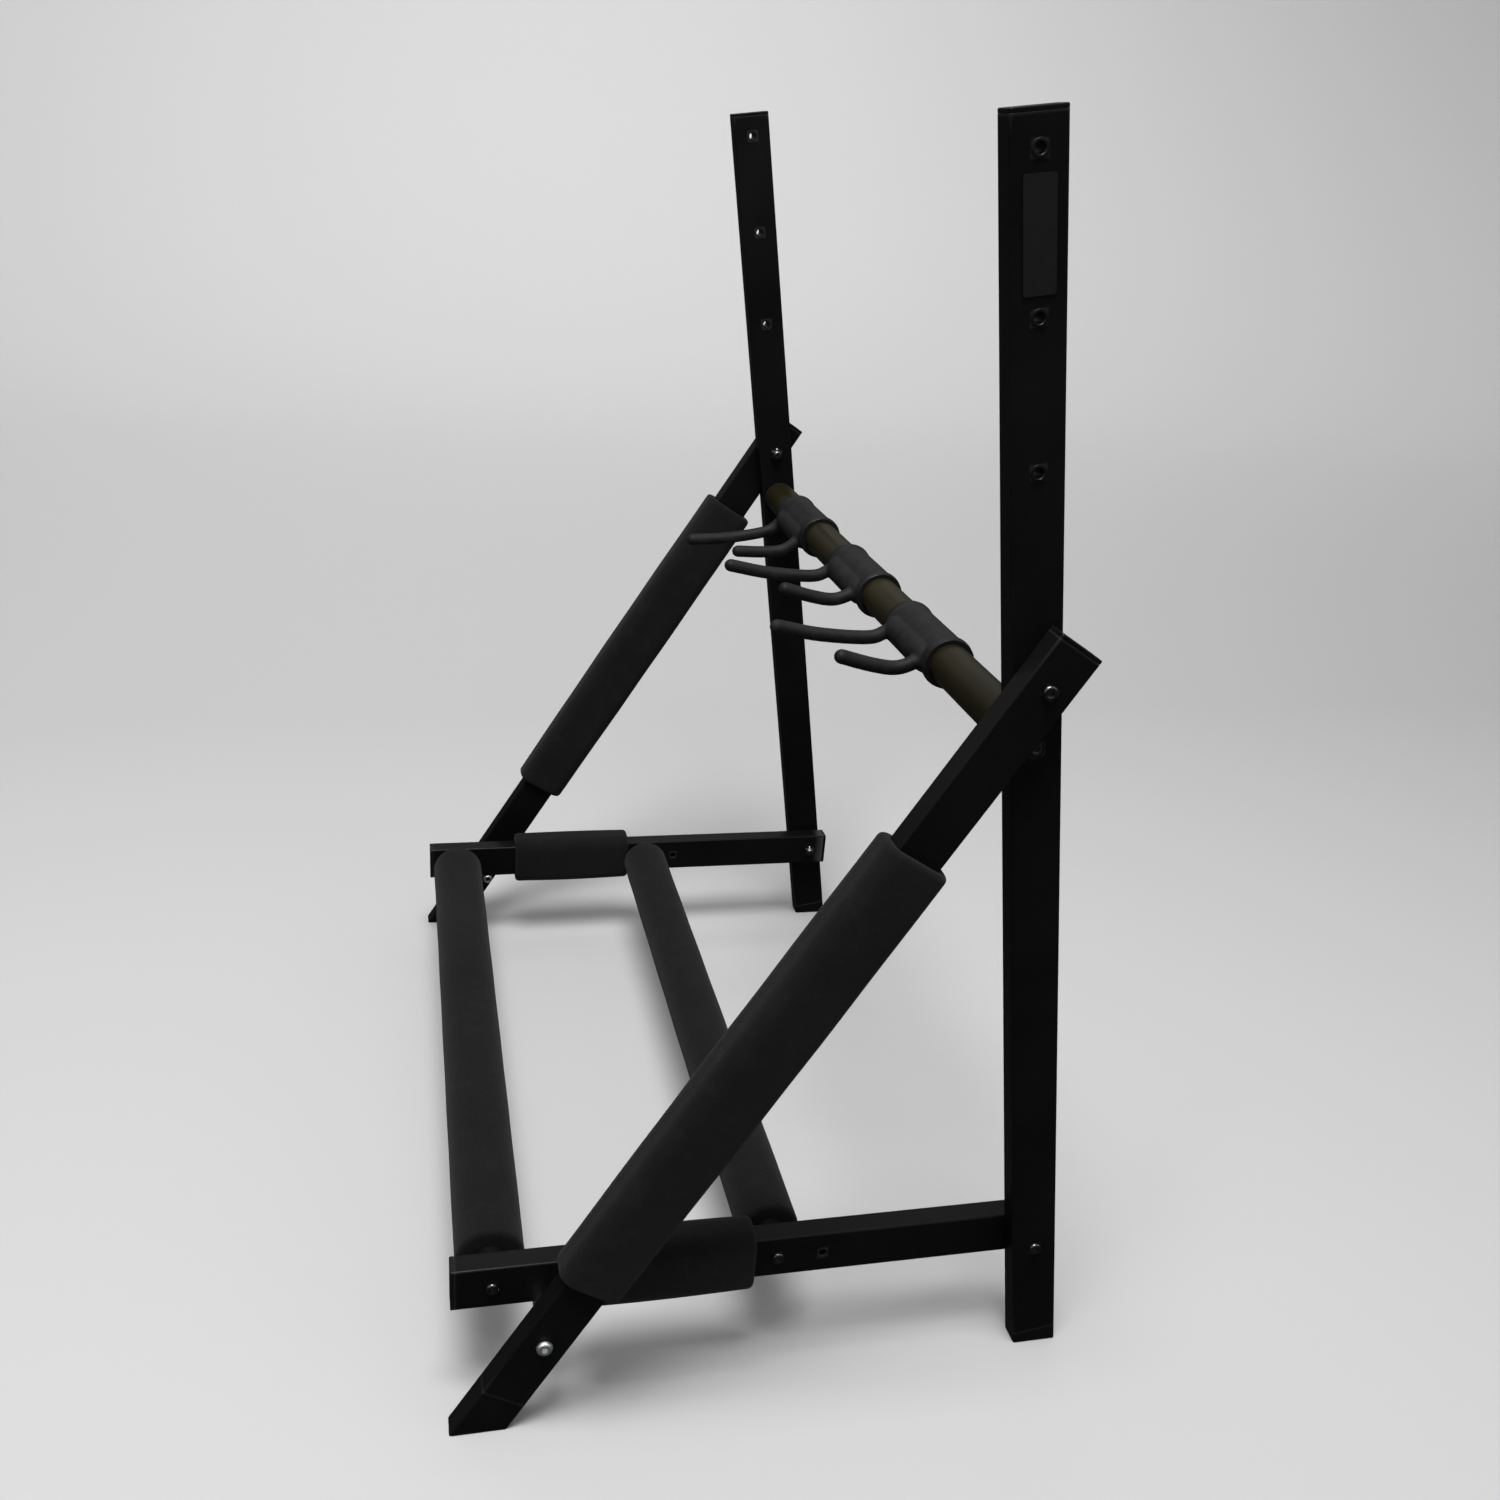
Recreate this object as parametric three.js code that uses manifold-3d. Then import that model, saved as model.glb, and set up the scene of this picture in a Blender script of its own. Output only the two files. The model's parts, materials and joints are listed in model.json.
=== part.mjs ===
// A folding floor rack for three guitars, in millimetres, +Z up, front towards -Y.
// Two A-shaped side frames of flat steel tube are joined by three cross bars. The uprights lean
// forwards; the front legs are hinged to them above the neck bar; the base rails are hinged near
// their feet and rest on stop posts in the front legs. Three forked yokes slide and turn on the
// neck bar. The origin is on the floor, at the middle of the rack's footprint.
import * as THREE from 'three';
import { mergeVertices } from 'three/addons/utils/BufferGeometryUtils.js';
import Module from 'manifold-3d';

const wasm = await Module();
wasm.setup();

// ---- driving dimensions -------------------------------------------------------------------------
const RACK_WIDTH = 704;          // over the uprights' outer faces
const TUBE_WIDTH = 35;           // flat tube, the wide way, in the plane of the side frame
const TUBE_DEPTH = 18;           // flat tube, across the rack
const TUBE_WALL = 1.5;
const TUBE_CORNER = 2.5;
const LAYER_GAP = 0.8;           // between upright, leg and rail, which lie side by side
const FIT = 0.3;                 // clearance between pieces that meet

const UPRIGHT_LENGTH = 900;
const UPRIGHT_LEAN = THREE.MathUtils.degToRad(9.1);    // forwards, from the vertical
const LEG_PIVOT_UP = 569;        // these are along the upright, from the floor
const NECK_BAR_UP = 521.5;
const RAIL_PIVOT_UP = 98;
const SPARE_HOLES_UP = [702, 790.5, 879];
const LABEL_UP = 834.5;

const LEG_ANGLE = THREE.MathUtils.degToRad(58.3);      // from the floor
const LEG_TOP_END = 34;          // beyond the pivot
const LEG_SLEEVE = { right: [-516, -134], left: [-459, -77] }; // along the leg, from the pivot

const RAIL_FRONT = 439;          // these are along the rail, from its pivot
const RAIL_REAR = -20;
const FRONT_BAR_AT = 409.5;
const REAR_BAR_AT = 199;
const RAIL_SPARE_HOLE_AT = 164;
const RAIL_SLEEVE = [217.5, 345];

const NECK_BAR_RADIUS = 16;
const BASE_BAR_RADIUS = 12.5;
const BAR_WALL = 1.5;
const BAR_END_WEB = 8;
const FRONT_FOAM_RADIUS = 26;
const REAR_FOAM_RADIUS = 24;
const BAR_FOAM_LENGTH = 610;
const SLEEVE_WALL = 9.2;
const SLEEVE_CORNER = 12;

const YOKE_PLACES = { left: -215, middle: -27, right: 143 };
const YOKE_DROOP = { left: 14, middle: 0, right: 0 };    // degrees, arms down
const YOKE_HUB_LENGTH = 94;
const YOKE_HUB_RADIUS = 20.6;
const YOKE_BUSH_RADIUS = 17.5;
const YOKE_BUSH_FLANGE = 1.5;
const YOKE_ARM_RADIUS = 5.6;
const YOKE_ARM_SPREAD = 35;      // from the middle of the yoke to each arm
const SHORT_ARM_REACH = 86;      // on the yoke's right
const LONG_ARM_REACH = 118;      // on its left

const CAP_HEAD = 3;
const CAP_PLUG = 10;
const UPRIGHT_FOOT = 12;         // height of the shoe along the tube
const LEG_FOOT = 34;

const PIVOT_BOLT = { shaft: 3.5, head: 5.2, headHeight: 2.8, socket: 2.2, nut: 6.4, nutHeight: 6 };
const BAR_BOLT = { shaft: 3, head: 5, headHeight: 2.6, socket: 2 };
const STOP_BOLT = { shaft: 3, head: 5.8, headHeight: 3.6, socket: 2.2 };
const SUNK_HEAD = TUBE_DEPTH - TUBE_WALL - FIT * 2;    // a head that fills the tube's depth
const STOP_POST_RADIUS = 4.6;
const STOP_CLEARANCE = 0.35;
const GROMMET = { bore: 3.3, body: 4.3, flange: 5.3, lip: 0.8 };
const LABEL = { width: 20, length: 64, thickness: 0.4 };

// ---- derived places -----------------------------------------------------------------------------
const HALF = TUBE_DEPTH / 2;
const LAYER = TUBE_DEPTH + LAYER_GAP;
const uprightX = RACK_WIDTH / 2 - HALF;
const legX = uprightX + LAYER;
const railX = uprightX - LAYER;
const uprightPoint = up => [-up * Math.sin(UPRIGHT_LEAN), up * Math.cos(UPRIGHT_LEAN)];
const [legPivotY, legPivotZ] = uprightPoint(LEG_PIVOT_UP);
const [neckBarY, neckBarZ] = uprightPoint(NECK_BAR_UP);
const [railY, railZ] = uprightPoint(RAIL_PIVOT_UP);
const legFloorAt = -legPivotZ / Math.sin(LEG_ANGLE);
const stopZ = railZ - TUBE_WIDTH / 2 - STOP_CLEARANCE - STOP_POST_RADIUS;
const stopAt = -(legPivotZ - stopZ) / Math.sin(LEG_ANGLE);
const footprintRear = TUBE_WIDTH / 2 / Math.cos(UPRIGHT_LEAN);
const footprintFront = legPivotY - (legPivotZ / Math.tan(LEG_ANGLE)) - TUBE_WIDTH / 2 / Math.sin(LEG_ANGLE);

// ---- materials ----------------------------------------------------------------------------------
const look = (color, roughness, metalness = 0) => () =>
  new THREE.MeshStandardMaterial({ color, roughness, metalness });
const frameBlack = look(0x151614, 0.42, 0.3);
const capBlack = look(0x111111, 0.5);
const foamGrey = look(0x2a2b2a, 0.95);
const yokeRubber = look(0x1e1f1e, 0.8);
const boltBlack = look(0x2b2b2c, 0.35, 0.9);
const zinc = look(0xc9cbcc, 0.25, 1);
const nylon = look(0x181818, 0.6);
const labelGrey = look(0x8f9294, 0.45);

// ---- solids -------------------------------------------------------------------------------------
function solidOf(geometry) {
  const bare = geometry.clone();
  bare.deleteAttribute('normal');
  bare.deleteAttribute('uv');
  const welded = mergeVertices(bare, 1e-4);
  const index = welded.index.array;
  const triangles = [];
  for (let i = 0; i < index.length; i += 3) {
    const [a, b, c] = [index[i], index[i + 1], index[i + 2]];
    if (a !== b && b !== c && c !== a) triangles.push(a, b, c);
  }
  return new wasm.Manifold(new wasm.Mesh({
    numProp: 3,
    vertProperties: new Float32Array(welded.attributes.position.array),
    triVerts: new Uint32Array(triangles),
  }));
}

function geometryOf(solid) {
  const mesh = solid.getMesh();
  const geometry = new THREE.BufferGeometry();
  geometry.setAttribute('position', new THREE.BufferAttribute(new Float32Array(mesh.vertProperties), 3));
  geometry.setIndex(new THREE.BufferAttribute(new Uint32Array(mesh.triVerts), 1));
  geometry.computeVertexNormals();
  return geometry;
}

const join = solids => solids.reduce((whole, solid) => whole.add(solid));

function roundedRect(width, height, radius) {
  const [w, h, r] = [width / 2, height / 2, radius];
  const shape = new THREE.Shape();
  shape.moveTo(w - r, -h);
  shape.absarc(w - r, -h + r, r, -Math.PI / 2, 0);
  shape.absarc(w - r, h - r, r, 0, Math.PI / 2);
  shape.absarc(-w + r, h - r, r, Math.PI / 2, Math.PI);
  shape.absarc(-w + r, -h + r, r, Math.PI, Math.PI * 1.5);
  shape.closePath();
  return shape;
}

const tubeOutline = (inset = 0) =>
  roundedRect(TUBE_DEPTH - 2 * inset, TUBE_WIDTH - 2 * inset, TUBE_CORNER - inset);

// A prism of the outline along Z.
function prism(outline, from, to, curveSegments = 3) {
  return solidOf(new THREE.ExtrudeGeometry(outline, { depth: to - from, bevelEnabled: false, curveSegments })
    .translate(0, 0, from));
}

// A cylinder along X, through (y, z).
function crossPin(radius, from, to, y = 0, z = 0, sides = 12) {
  return solidOf(new THREE.CylinderGeometry(radius, radius, to - from, sides)
    .rotateZ(Math.PI / 2)
    .translate((from + to) / 2, y, z));
}

// A turned solid along X; the profile is [radius, x] pairs and starts and ends on the axis.
function turned(profile, sides = 12) {
  return solidOf(new THREE.LatheGeometry(profile.map(([r, x]) => new THREE.Vector2(r, x)), sides)
    .rotateZ(-Math.PI / 2));
}

// A turned ring: its profile closes on itself instead.
const turnedRing = (profile, sides) => turned([...profile, profile[0]], sides);

function flatTube(from, to, holes) {
  const outside = prism(tubeOutline(), from, to);
  const inside = prism(tubeOutline(TUBE_WALL), from - 1, to + 1);
  const drilled = holes.map(({ at, radius, start = -TUBE_DEPTH }) => crossPin(radius, start, TUBE_DEPTH, 0, at));
  return outside.subtract(join([inside, ...drilled]));
}

// A plug that fills a tube's end, under a head with softened edges; it faces +Z.
function endCap() {
  const edge = 0.8;
  const outline = roundedRect(TUBE_DEPTH - 2 * edge, TUBE_WIDTH - 2 * edge, TUBE_CORNER - edge);
  const head = new THREE.ExtrudeGeometry(outline, { depth: CAP_HEAD - FIT - 2 * edge,
    bevelThickness: edge, bevelSize: edge, bevelSegments: 1, curveSegments: 3 })
    .translate(0, 0, FIT + edge);
  return solidOf(head).add(prism(tubeOutline(TUBE_WALL + FIT), -CAP_PLUG, CAP_HEAD / 2));
}

// A shoe under a leaning tube, cut level with the floor, with a plug up into the tube.
function shoe(lean, floorAt, height) {
  const top = floorAt + height - FIT;
  const floor = new THREE.BoxGeometry(200, 400, 200).translate(0, 0, -100).rotateX(-lean)
    .translate(0, 0, floorAt);
  return join([
    prism(tubeOutline(), floorAt - TUBE_WIDTH, top),
    prism(tubeOutline(TUBE_WALL + FIT), top - 2, top + CAP_PLUG),
  ]).subtract(solidOf(floor));
}

// A socket-head bolt along X: its head bears on x = seat and its shaft runs inwards to x = end.
function bolt(size, seat, end) {
  const top = seat + size.headHeight;
  const body = turned([[0, end], [size.shaft - 0.6, end], [size.shaft, end + 0.6], [size.shaft, seat],
    [size.head, seat], [size.head, seat + 1.2], [size.head * 0.8, top - 0.7], [size.head * 0.55, top], [0, top]]);
  const socket = new THREE.CylinderGeometry(size.socket, size.socket, size.headHeight, 6)
    .rotateZ(Math.PI / 2)
    .translate(top, 0, 0);
  return body.subtract(solidOf(socket));
}

// A lock nut along X, from x = face inwards.
function lockNut(size, face) {
  const hex = new THREE.CylinderGeometry(size.nut, size.nut, size.nutHeight * 0.7, 6)
    .rotateZ(Math.PI / 2)
    .translate(face - size.nutHeight * 0.35, 0, 0);
  return join([solidOf(hex), crossPin(size.nut * 0.78, face - size.nutHeight, face - size.nutHeight / 2)])
    .subtract(crossPin(size.shaft + FIT, face - size.nutHeight * 2, face + 1));
}

// A post along X that the rail rests on, bored for the stop bolt from its outer end.
function stopPost(from, to, boltEnd) {
  const bore = STOP_BOLT.shaft + FIT;
  return turned([[0, to], [STOP_POST_RADIUS - 0.8, to], [STOP_POST_RADIUS, to + 0.8],
    [STOP_POST_RADIUS, from], [bore, from], [bore, boltEnd - FIT], [0, boltEnd - FIT]]);
}

function grommet() {
  const lip = HALF + FIT;
  return turnedRing([[GROMMET.bore, -HALF], [GROMMET.body, -HALF], [GROMMET.body, lip],
    [GROMMET.flange, lip], [GROMMET.flange, lip + GROMMET.lip / 2],
    [GROMMET.flange - 0.6, lip + GROMMET.lip], [GROMMET.bore, lip + GROMMET.lip]], 14);
}

// A foam sleeve around a flat tube.
function sleeve([from, to]) {
  const outside = roundedRect(TUBE_DEPTH + SLEEVE_WALL * 2, TUBE_WIDTH + SLEEVE_WALL * 2, SLEEVE_CORNER);
  const inside = roundedRect(TUBE_DEPTH + FIT * 2, TUBE_WIDTH + FIT * 2, TUBE_CORNER);
  return prism(outside, from, to, 5).subtract(prism(inside, from - 1, to + 1));
}

// A round tube along X with a bored web at each end for its bolts.
function crossBar(radius, length, boltSize) {
  const [end, bore, inner] = [length / 2, boltSize.shaft + FIT, radius - BAR_WALL];
  return turnedRing([[bore, -end], [radius, -end], [radius, end], [bore, end],
    [bore, end - BAR_END_WEB], [inner, end - BAR_END_WEB], [inner, -end + BAR_END_WEB],
    [bore, -end + BAR_END_WEB]], 24);
}

// A foam tube on a base bar.
function barFoam(radius) {
  const [end, edge, bore] = [BAR_FOAM_LENGTH / 2, 2.5, BASE_BAR_RADIUS + FIT];
  return turnedRing([[bore, -end], [radius - edge, -end], [radius, -end + edge],
    [radius, end - edge], [radius - edge, end], [bore, end]], 24);
}

// A yoke arm leaves the hub downwards and forwards, rises again and ends in a round tip.
function yokeArm(x, reach) {
  const route = new THREE.CatmullRomCurve3([
    [x * 0.8, -8, 5], [x, -21, -2], [x, -37, -7], [x, -reach * 0.65, -4.5],
    [x, -reach + YOKE_ARM_RADIUS, 2]].map(point => new THREE.Vector3(...point)));
  const section = new THREE.Shape().absarc(0, 0, YOKE_ARM_RADIUS, 0, Math.PI * 2);
  const rod = new THREE.ExtrudeGeometry(section, { steps: 10, extrudePath: route, curveSegments: 5 });
  const tip = new THREE.SphereGeometry(YOKE_ARM_RADIUS * 1.05, 10, 6).translate(...route.getPoint(1).toArray());
  return join([solidOf(rod), solidOf(tip)]);
}

function yokeFork() {
  const [half, r] = [YOKE_HUB_LENGTH / 2, YOKE_HUB_RADIUS];
  const saddle = new THREE.CapsuleGeometry(12, YOKE_ARM_SPREAD * 2 - 8, 3, 12)
    .rotateZ(Math.PI / 2)
    .translate(0, -13, 0);
  return join([
    turned([[0, -half], [r - 1.5, -half], [r, -half + 1.5], [r, half - 1.5], [r - 1.5, half], [0, half]], 24),
    solidOf(saddle),
    yokeArm(YOKE_ARM_SPREAD, SHORT_ARM_REACH),
    yokeArm(-YOKE_ARM_SPREAD, LONG_ARM_REACH),
  ]).subtract(crossPin(YOKE_BUSH_RADIUS + FIT, -YOKE_HUB_LENGTH, YOKE_HUB_LENGTH, 0, 0, 24));
}

// A flanged bush that carries a fork and slides on the neck bar.
function yokeBush() {
  const [bore, body, rim] = [NECK_BAR_RADIUS + FIT, YOKE_BUSH_RADIUS, YOKE_HUB_RADIUS - 1.2];
  const inner = YOKE_HUB_LENGTH / 2 + FIT;
  const outer = inner + YOKE_BUSH_FLANGE;
  return turnedRing([[bore, -outer], [rim, -outer], [rim, -inner], [body, -inner], [body, inner],
    [rim, inner], [rim, outer], [bore, outer]], 24);
}

// ---- assembly -----------------------------------------------------------------------------------
const rack = new THREE.Group();
rack.position.y = -(footprintRear + footprintFront) / 2;

function add(parent, name, solid, material, [x, y, z] = [0, 0, 0]) {
  const mesh = new THREE.Mesh(geometryOf(solid), material());
  mesh.name = name;
  mesh.position.set(x, y, z);
  parent.add(mesh);
  return mesh;
}

// A group whose Z runs along a tube in a side frame's plane and whose +X points out of the rack.
function alongTube(side, x, y, z, tilt) {
  const plane = new THREE.Group();
  plane.position.set(side * x, y, z);
  plane.rotation.x = tilt;
  const outward = new THREE.Group();
  outward.rotation.z = side > 0 ? 0 : Math.PI;
  plane.add(outward);
  rack.add(plane);
  return outward;
}

function sideFrame(side, word) {
  const seat = HALF + FIT;
  const pivotHole = at => ({ at, radius: PIVOT_BOLT.shaft + FIT });
  const barHole = at => ({ at, radius: BAR_BOLT.shaft + FIT });

  const upright = alongTube(side, uprightX, 0, 0, UPRIGHT_LEAN);
  add(upright, `${word}_upright`, flatTube(UPRIGHT_FOOT, UPRIGHT_LENGTH - CAP_HEAD, [
    pivotHole(LEG_PIVOT_UP), pivotHole(RAIL_PIVOT_UP), pivotHole(NECK_BAR_UP),
    { at: NECK_BAR_UP, radius: PIVOT_BOLT.head + FIT, start: 0 },
    ...SPARE_HOLES_UP.map(at => ({ at, radius: GROMMET.body + FIT })),
  ]), frameBlack);
  add(upright, `${word}_upright_cap`, endCap(), capBlack, [0, 0, UPRIGHT_LENGTH - CAP_HEAD]);
  add(upright, `${word}_upright_foot`, shoe(side * UPRIGHT_LEAN, 0, UPRIGHT_FOOT), capBlack);
  SPARE_HOLES_UP.forEach((at, i) => {
    add(upright, `${word}_grommet_${i + 1}`, grommet(), nylon, [0, 0, at]);
  });
  const sunk = bolt({ ...PIVOT_BOLT, headHeight: SUNK_HEAD }, -HALF + TUBE_WALL + FIT,
    -HALF - LAYER_GAP - BAR_END_WEB - 6);
  add(upright, `${word}_neck_bar_bolt`, sunk, boltBlack, [0, 0, NECK_BAR_UP]);
  const railNut = -HALF - LAYER - FIT;
  add(upright, `${word}_rail_pivot_bolt`, bolt(PIVOT_BOLT, seat, railNut - PIVOT_BOLT.nutHeight - 2), boltBlack,
    [0, 0, RAIL_PIVOT_UP]);
  add(upright, `${word}_rail_pivot_nut`, lockNut(PIVOT_BOLT, railNut), boltBlack, [0, 0, RAIL_PIVOT_UP]);

  const legTilt = LEG_ANGLE - Math.PI / 2;
  const leg = alongTube(side, legX, legPivotY, legPivotZ, legTilt);
  add(leg, `${word}_leg`, flatTube(legFloorAt + LEG_FOOT, LEG_TOP_END - CAP_HEAD, [pivotHole(0), barHole(stopAt)]),
    frameBlack);
  add(leg, `${word}_leg_cap`, endCap(), capBlack, [0, 0, LEG_TOP_END - CAP_HEAD]);
  add(leg, `${word}_leg_foot`, shoe(side * legTilt, legFloorAt, LEG_FOOT), capBlack);
  add(leg, `${word}_leg_foam`, sleeve(LEG_SLEEVE[word]), foamGrey);
  const legNut = -HALF - LAYER - FIT;
  add(leg, `${word}_leg_pivot_bolt`, bolt(PIVOT_BOLT, seat, legNut - PIVOT_BOLT.nutHeight - 2), boltBlack);
  add(leg, `${word}_leg_pivot_nut`, lockNut(PIVOT_BOLT, legNut), boltBlack);
  const [postFrom, postTo, stopBoltEnd] = [-HALF - FIT, -HALF - LAYER * 2, -HALF - LAYER];
  add(leg, `${word}_stop_bolt`, bolt(STOP_BOLT, seat, stopBoltEnd), zinc, [0, 0, stopAt]);
  add(leg, `${word}_stop_post`, stopPost(postFrom, postTo, stopBoltEnd), zinc, [0, 0, stopAt]);

  const rail = alongTube(side, railX, railY, railZ, Math.PI / 2);
  add(rail, `${word}_rail`, flatTube(RAIL_REAR + CAP_HEAD, RAIL_FRONT - CAP_HEAD, [
    pivotHole(0), barHole(REAR_BAR_AT), barHole(FRONT_BAR_AT), barHole(RAIL_SPARE_HOLE_AT),
  ]), frameBlack);
  add(rail, `${word}_rail_front_cap`, endCap(), capBlack, [0, 0, RAIL_FRONT - CAP_HEAD]);
  add(rail, `${word}_rail_rear_cap`, endCap(), capBlack, [0, 0, RAIL_REAR + CAP_HEAD]).rotation.x = Math.PI;
  add(rail, `${word}_rail_foam`, sleeve(RAIL_SLEEVE), foamGrey);
  const barBoltEnd = -HALF - LAYER_GAP - BAR_END_WEB - 4;
  add(rail, `${word}_front_bar_bolt`, bolt(BAR_BOLT, seat, barBoltEnd), boltBlack, [0, 0, FRONT_BAR_AT]);
  add(rail, `${word}_rear_bar_bolt`, bolt(BAR_BOLT, seat, barBoltEnd), boltBlack, [0, 0, REAR_BAR_AT]);
  return { upright };
}

const right = sideFrame(1, 'right');
sideFrame(-1, 'left');

add(right.upright, 'label_plate', prism(roundedRect(LABEL.width, LABEL.length, 1.5), 0, LABEL.thickness)
  .rotate([0, 90, 0]).rotate([90, 0, 0]), labelGrey, [HALF + FIT, 0, LABEL_UP]);

const neckBarLength = 2 * (uprightX - HALF - LAYER_GAP);
const baseBarLength = 2 * (railX - HALF - LAYER_GAP);
add(rack, 'neck_bar', crossBar(NECK_BAR_RADIUS, neckBarLength, PIVOT_BOLT), frameBlack, [0, neckBarY, neckBarZ]);
const baseBars = { front: [FRONT_BAR_AT, FRONT_FOAM_RADIUS], rear: [REAR_BAR_AT, REAR_FOAM_RADIUS] };
for (const [word, [at, radius]] of Object.entries(baseBars)) {
  add(rack, `${word}_bar`, crossBar(BASE_BAR_RADIUS, baseBarLength, BAR_BOLT), frameBlack, [0, railY - at, railZ]);
  add(rack, `${word}_bar_foam`, barFoam(radius), foamGrey, [0, railY - at, railZ]);
}
for (const [word, x] of Object.entries(YOKE_PLACES)) {
  add(rack, `${word}_yoke_bush`, yokeBush(), nylon, [x, neckBarY, neckBarZ]);
  add(rack, `${word}_yoke_fork`, yokeFork(), yokeRubber, [x, neckBarY, neckBarZ])
    .rotation.x = THREE.MathUtils.degToRad(YOKE_DROOP[word]);
}

export default rack;
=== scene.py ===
"""Looks for the folding guitar rack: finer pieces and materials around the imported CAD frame.

Lengths are in metres.
"""
import json
import math
import random

import bmesh
import bpy
from mathutils import Matrix, Vector


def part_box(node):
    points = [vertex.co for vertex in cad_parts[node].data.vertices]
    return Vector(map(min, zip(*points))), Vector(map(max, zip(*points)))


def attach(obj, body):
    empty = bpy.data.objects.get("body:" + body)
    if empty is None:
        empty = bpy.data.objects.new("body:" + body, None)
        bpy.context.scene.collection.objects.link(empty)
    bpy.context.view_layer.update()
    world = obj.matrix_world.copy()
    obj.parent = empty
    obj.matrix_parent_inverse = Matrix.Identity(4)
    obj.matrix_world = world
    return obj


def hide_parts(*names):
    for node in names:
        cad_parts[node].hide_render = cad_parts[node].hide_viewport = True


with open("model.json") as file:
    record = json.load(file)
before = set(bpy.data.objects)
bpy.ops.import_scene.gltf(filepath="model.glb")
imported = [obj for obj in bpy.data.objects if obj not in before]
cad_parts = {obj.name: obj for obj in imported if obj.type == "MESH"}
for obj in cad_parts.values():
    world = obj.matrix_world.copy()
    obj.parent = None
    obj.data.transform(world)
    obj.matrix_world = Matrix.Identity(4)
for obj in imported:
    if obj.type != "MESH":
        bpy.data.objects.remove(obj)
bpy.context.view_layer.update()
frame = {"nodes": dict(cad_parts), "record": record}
nodes = frame["nodes"]
behaviour = frame["record"]["behaviour"]
joints = {j["name"]: j for j in behaviour["joints"]}
body_of = {n: b for b, group in behaviour["bodies"].items() for n in group}
slot_of = {s["node"]: s["material_slot"] for s in frame["record"]["subparts"]}
SIDES = {"right": 1, "left": -1}
random.seed(11)


# ---- places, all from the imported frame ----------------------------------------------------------
def centre(node):
    lo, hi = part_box(node)
    return (Vector(lo) + Vector(hi)) / 2


def size(node):
    lo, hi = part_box(node)
    return Vector(hi) - Vector(lo)


def side_of(node):
    """1 on the rack's right, -1 on its left."""
    return 1 if centre(node).x > 0 else -1


LEAN = math.radians(9.1)
LEG_ANGLE = math.radians(58.3)
UPRIGHT_UP = Vector((0, -math.sin(LEAN), math.cos(LEAN)))
LEG_UP = Vector((0, math.cos(LEG_ANGLE), math.sin(LEG_ANGLE)))
FORWARD = Vector((0, -1, 0))


def basis(along, out):
    """A rotation whose local Z runs along the tube and whose local X points out of the rack."""
    z = along.normalized()
    x = Vector((out, 0, 0))
    y = z.cross(x)
    return Matrix((x, y, z)).transposed().to_4x4()


def through_side(cad, inwards=False):
    """Local +X runs out of the rack from the part's inner end, or inwards from its outer end."""
    lo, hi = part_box(cad)
    middle = centre(cad)
    forwards = (side_of(cad) > 0) != inwards
    start = Matrix.Translation((lo[0] if forwards else hi[0], middle.y, middle.z))
    return start @ Matrix.Rotation(0 if forwards else math.pi, 4, "Z")


# ---- materials ----------------------------------------------------------------------------------
def new_material(name, rough, specular=0.5, metal=0.0):
    mat = bpy.data.materials.new(name)
    mat.use_nodes = True
    tree = mat.node_tree
    shader = tree.nodes["Principled BSDF"]
    shader.inputs["Roughness"].default_value = rough
    shader.inputs["Metallic"].default_value = metal
    shader.inputs["Specular IOR Level"].default_value = specular
    return mat, tree, shader


def node(tree, kind, **values):
    made = tree.nodes.new(kind)
    for key, value in values.items():
        if key in made.inputs:
            made.inputs[key].default_value = value
        else:
            setattr(made, key, value)
    return made


def texture(tree, kind, scale, stretch=(1, 1, 1), **values):
    """A noise or cell texture in object space, with its features scale per metre."""
    coords = node(tree, "ShaderNodeTexCoord")
    mapping = node(tree, "ShaderNodeMapping")
    mapping.inputs["Scale"].default_value = stretch
    made = node(tree, kind, **values)
    made.inputs["Scale"].default_value = scale
    tree.links.new(coords.outputs["Object"], mapping.inputs["Vector"])
    tree.links.new(mapping.outputs["Vector"], made.inputs["Vector"])
    return made


def ramp(tree, source, stops):
    """A colour ramp on a source, with stops of (place, colour)."""
    made = node(tree, "ShaderNodeValToRGB")
    first, last = made.color_ramp.elements
    first.position, first.color = stops[0]
    last.position, last.color = stops[-1]
    for place, colour in stops[1:-1]:
        made.color_ramp.elements.new(place).color = colour
    tree.links.new(source, made.inputs["Fac"])
    return made.outputs["Color"]


def grey(value, warm=0.0):
    return (value * (1 + warm), value, value * (1 - warm), 1)


def mixed(tree, factor, a, b, blend="MIX"):
    """Mixes two colours; each of the factor and the colours is a value or an output."""
    made = node(tree, "ShaderNodeMix", data_type="RGBA", blend_type=blend)
    for key, value in (("Factor", factor), (6, a), (7, b)):
        socket = made.inputs[key]
        if isinstance(value, (tuple, float)):
            socket.default_value = value
        else:
            tree.links.new(value, socket)
    return made.outputs[2]


def bumped(tree, shader, layers):
    """Adds bump layers, each (height output, distance, strength)."""
    last = None
    for height, distance, strength in layers:
        bump = node(tree, "ShaderNodeBump", Distance=distance, Strength=strength)
        tree.links.new(height, bump.inputs["Height"])
        if last:
            tree.links.new(last, bump.inputs["Normal"])
        last = bump.outputs["Normal"]
    tree.links.new(last, shader.inputs["Normal"])


def edges(tree, low=0.52, high=0.62):
    """White on sharp outer edges, black elsewhere."""
    geometry = node(tree, "ShaderNodeNewGeometry")
    return ramp(tree, geometry.outputs["Pointiness"], [(low, grey(0)), (high, grey(1))])


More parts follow.
